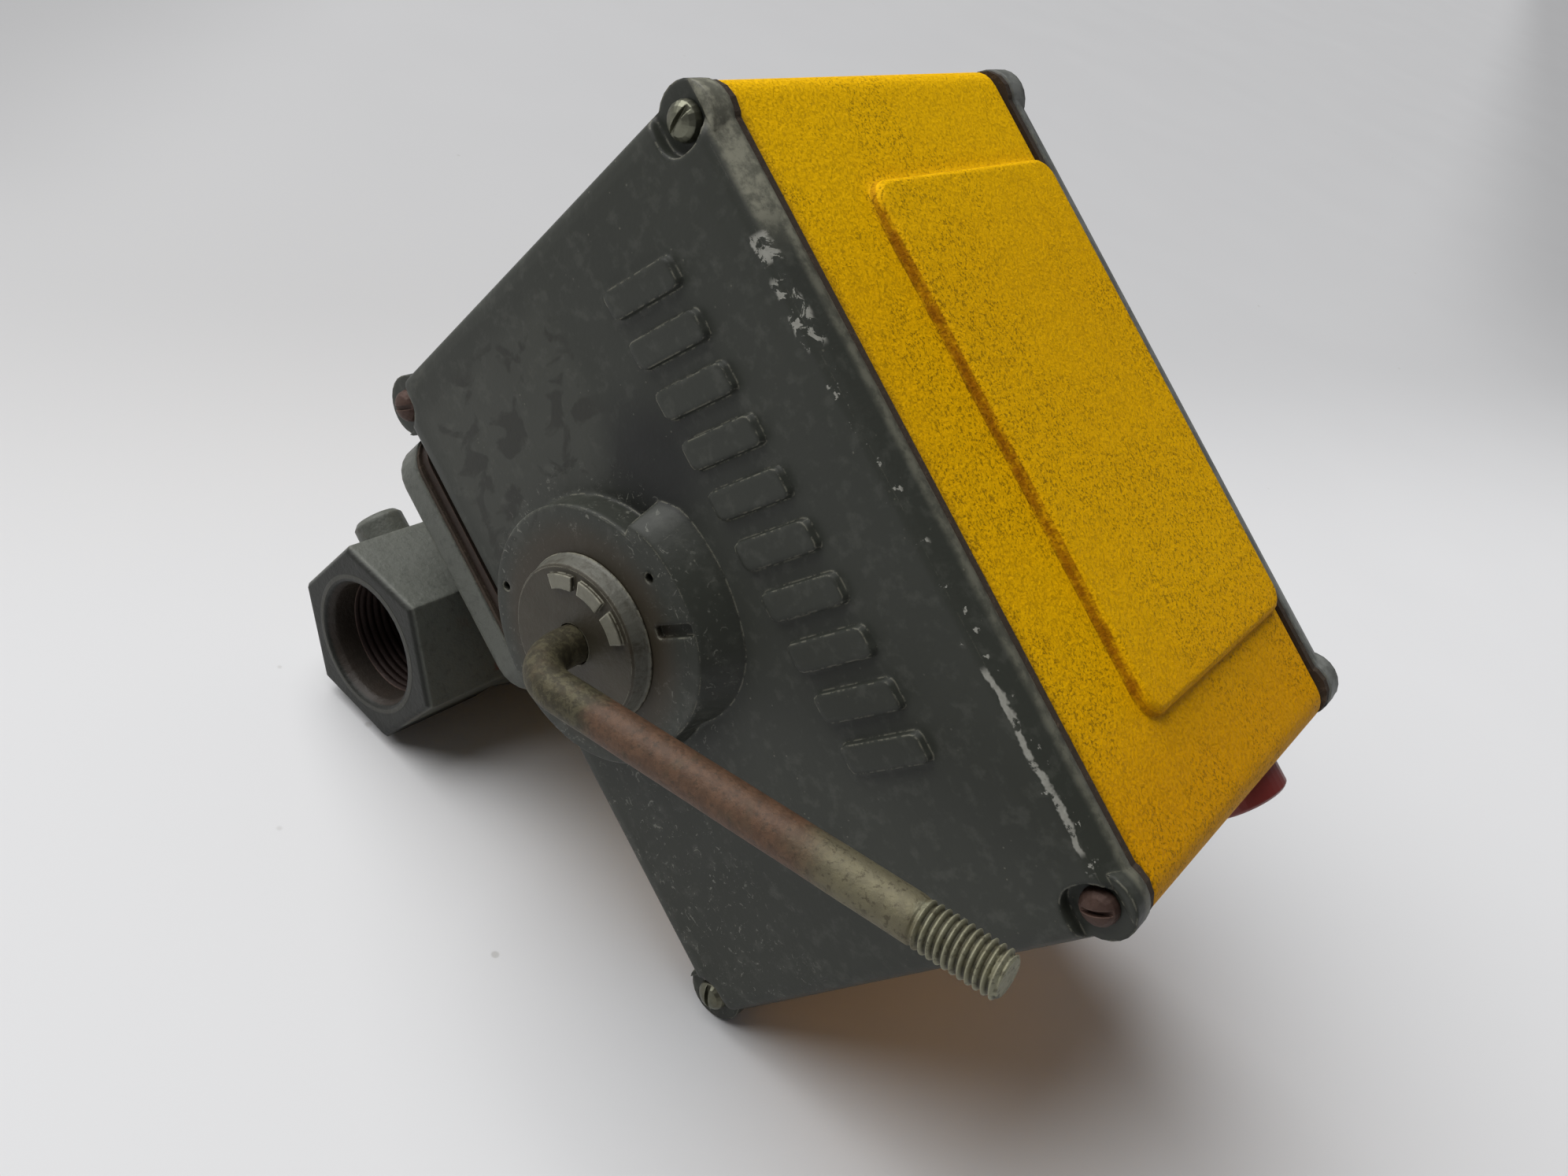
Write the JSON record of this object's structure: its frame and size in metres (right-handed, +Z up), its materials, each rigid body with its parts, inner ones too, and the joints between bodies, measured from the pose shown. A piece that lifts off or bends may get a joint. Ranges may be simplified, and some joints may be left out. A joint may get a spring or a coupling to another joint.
{
  "type": "manual reset shut-off valve",
  "caption": "Hex-ended pipe valve with a boxed spring-closing actuator and a bent-rod reset handle that lifts its stem and disc.",
  "frame": {"origin": "centre of the inlet hub's end face, on the pipe axis", "axes": "+Y along the pipe from inlet to outlet, +Z up the stem to the box's roof, +X right seen from the front cover"},
  "size_m": [0.1869, 0.156, 0.2082],
  "materials": {
    "iron": "rough cast, worn grey",
    "grey": "dark slate-grey paint, worn",
    "yellow": "yellow enamel on a cast skin",
    "zinc": "zinc-chromate plated, dull",
    "steel": "plain machined steel",
    "rust": "brown rusted steel",
    "brass": "machined brass",
    "cork": "dark brown fibre gasket",
    "red": "dark red moulded plastic",
    "black": "black moulded plastic",
    "copper": "varnished copper winding",
    "graphite": "graphite packing"
  },
  "bodies": {
    "valve": {"valve_body": "iron", "side_plug": "zinc", "mechanism_frame": "zinc", "frame_screw_1": "zinc", "frame_screw_2": "zinc", "seat_ring": "steel", "closing_spring": "steel", "stop_pin": "steel", "latch_pin": "steel", "magnet_core": "steel", "magnet_yoke": "steel", "bonnet_bolt_1": "steel", "bonnet_bolt_2": "steel", "bonnet_bolt_3": "steel", "bonnet_bolt_4": "steel", "bonnet": "rust", "front_screw_bottom_left": "rust", "front_screw_bottom_right": "rust", "front_screw_top_left": "rust", "front_screw_top_right": "rust", "back_screw_bottom_left": "zinc", "back_screw_bottom_right": "zinc", "back_screw_top_left": "zinc", "back_screw_top_right": "zinc", "bonnet_gasket": "cork", "front_gasket": "cork", "back_gasket": "cork", "stem_packing": "graphite", "gland_nut": "brass", "shaft_bush_front": "brass", "shaft_bush_rear": "brass", "terminal_screw_1": "brass", "terminal_screw_2": "brass", "terminal_screw_3": "brass", "terminal_screw_4": "brass", "housing": "yellow", "front_cover": "grey", "back_cover": "grey", "magnet_coil": "copper", "switch_closed": "black", "switch_open": "black", "terminal_block": "black", "conduit_plug": "red"},
    "handle": {"handle_shaft": "zinc", "shaft_ring": "steel", "rotor_disc": "grey", "handle_rod": "zinc", "lift_cam": "steel"},
    "stem_group": {"stem": "steel", "valve_disc": "steel", "disc_nut": "zinc", "crosshead": "zinc", "spring_plate": "zinc", "trip_wedge": "zinc"},
    "latch": {"latch_lever": "zinc"},
    "plunger_closed": {"switch_plunger_closed": "red"},
    "plunger_open": {"switch_plunger_open": "red"}
  },
  "joints": [
    {"name": "handle_turn", "type": "hinge", "parent": "valve", "child": "handle", "pos_m": [0.02975, 0, 0.0862], "axis": [0, -1, 0], "range_deg": [0, 75]},
    {"name": "stem_lift", "type": "slide", "parent": "valve", "child": "stem_group", "axis": [0, 0, 1], "range_m": [0, 0.0106], "stiffness_N_per_m": 2000, "springref_m": -0.02, "deforming": ["closing_spring"]},
    {"name": "latch_pivot", "type": "hinge", "parent": "valve", "child": "latch", "pos_m": [0.062, 0.065, 0.12], "axis": [0, 1, 0], "range_deg": [0, 11], "stiffness_Nm_per_rad": 0.1, "springref_deg": -11.46},
    {"name": "plunger_closed_slide", "type": "slide", "parent": "valve", "child": "plunger_closed", "axis": [1, 0, 0], "range_m": [0, 0.0012]},
    {"name": "plunger_open_slide", "type": "slide", "parent": "valve", "child": "plunger_open", "axis": [1, 0, 0], "range_m": [-0.0012, 0]}
  ],
  "couplings": [
    {"joint": "stem_lift", "follows": "handle_turn", "m_per_rad": 0.008},
    {"joint": "plunger_closed_slide", "follows": "handle_turn", "m_per_rad": 0.00084},
    {"joint": "plunger_open_slide", "follows": "handle_turn", "m_per_rad": -0.00084}
  ]
}
